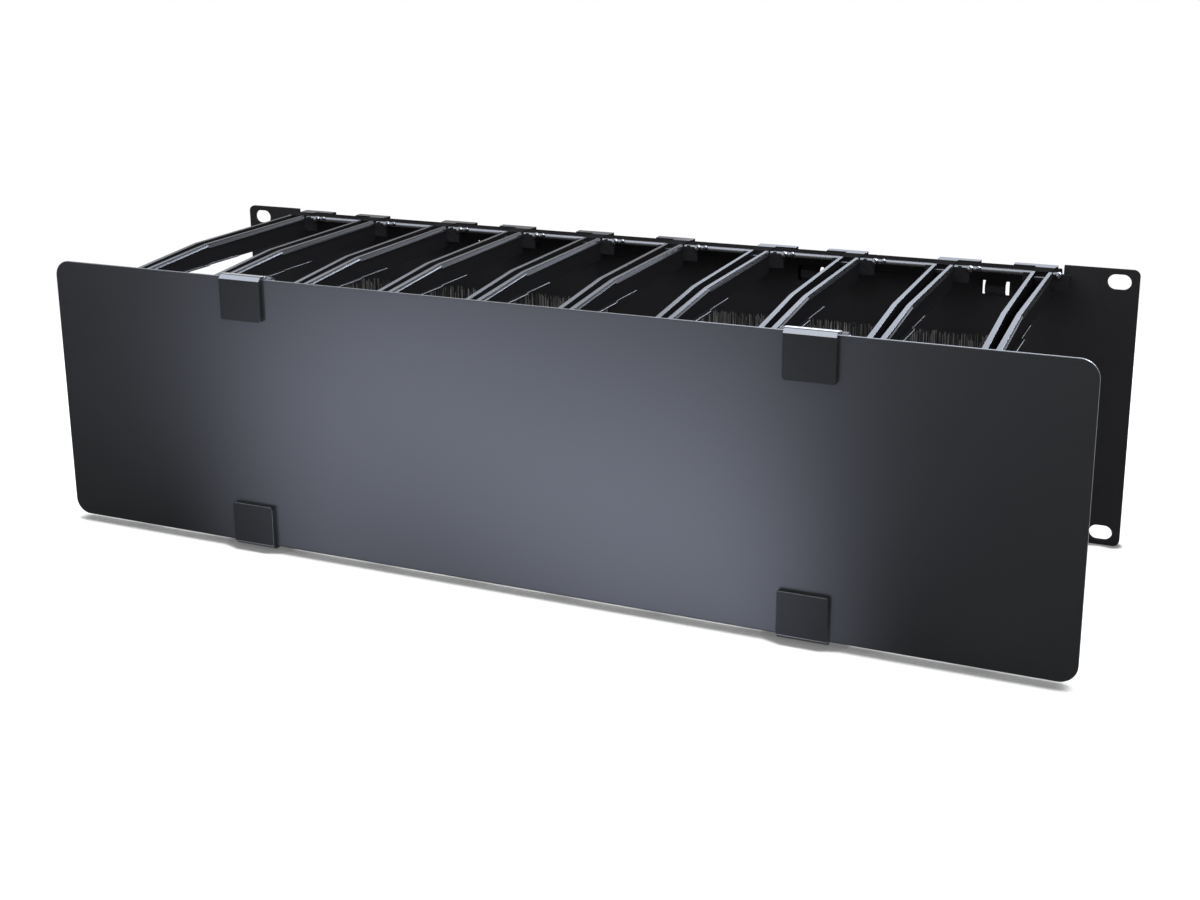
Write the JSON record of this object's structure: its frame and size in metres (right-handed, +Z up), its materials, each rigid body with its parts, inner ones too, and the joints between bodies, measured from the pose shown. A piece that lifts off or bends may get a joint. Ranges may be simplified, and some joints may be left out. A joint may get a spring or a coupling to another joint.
{
  "type": "horizontal cable manager",
  "caption": "Rack-width horizontal cable manager: a mounting plate with rows of cable fingers above and below, brush windows and a hinged front cover.",
  "frame": {"origin": "middle of the rear face of the mounting plate, which seats on the rack posts, at the centre of the four rack slots", "axes": "+X to the right along the rack, +Y back into the rack, +Z up; the cover is on the -Y side"},
  "size_m": [0.4826, 0.1623, 0.1326],
  "materials": {
    "plate_coat": "fine textured black powder coat",
    "cover_coat": "satin black paint",
    "holder_coat": "satin black paint",
    "finger_plastic": "glossy black moulding",
    "bracket_plastic": "glossy black moulding",
    "clip_plastic": "satin black moulding",
    "pin_steel": "drawn steel",
    "bristle_nylon": "black nylon bristles"
  },
  "bodies": {
    "frame": {"mounting_plate": "plate_coat", "finger_top_01": "finger_plastic", "finger_top_02": "finger_plastic", "finger_top_03": "finger_plastic", "finger_top_04": "finger_plastic", "finger_top_05": "finger_plastic", "finger_top_06": "finger_plastic", "finger_top_07": "finger_plastic", "finger_top_08": "finger_plastic", "finger_top_09": "finger_plastic", "finger_top_10": "finger_plastic", "finger_bottom_01": "finger_plastic", "finger_bottom_02": "finger_plastic", "finger_bottom_03": "finger_plastic", "finger_bottom_04": "finger_plastic", "finger_bottom_05": "finger_plastic", "finger_bottom_06": "finger_plastic", "finger_bottom_07": "finger_plastic", "finger_bottom_08": "finger_plastic", "finger_bottom_09": "finger_plastic", "finger_bottom_10": "finger_plastic", "hinge_bracket_top_left": "bracket_plastic", "hinge_bracket_top_right": "bracket_plastic", "hinge_bracket_bottom_left": "bracket_plastic", "hinge_bracket_bottom_right": "bracket_plastic", "hinge_pin_top_left": "pin_steel", "hinge_pin_top_right": "pin_steel", "hinge_pin_bottom_left": "pin_steel", "hinge_pin_bottom_right": "pin_steel", "brush_holder_left": "holder_coat", "brush_holder_right": "holder_coat", "bristles_left": "bristle_nylon", "bristles_right": "bristle_nylon"},
    "cover": {"cover_panel": "cover_coat", "cover_clip_top_left": "clip_plastic", "cover_clip_top_right": "clip_plastic", "cover_clip_bottom_left": "clip_plastic", "cover_clip_bottom_right": "clip_plastic"}
  },
  "joints": [
    {"name": "cover_hinge", "type": "hinge", "parent": "frame", "child": "cover", "pos_m": [0, -0.154, 0.0619], "axis": [-1, 0, 0], "range_deg": [0, 150]}
  ]
}
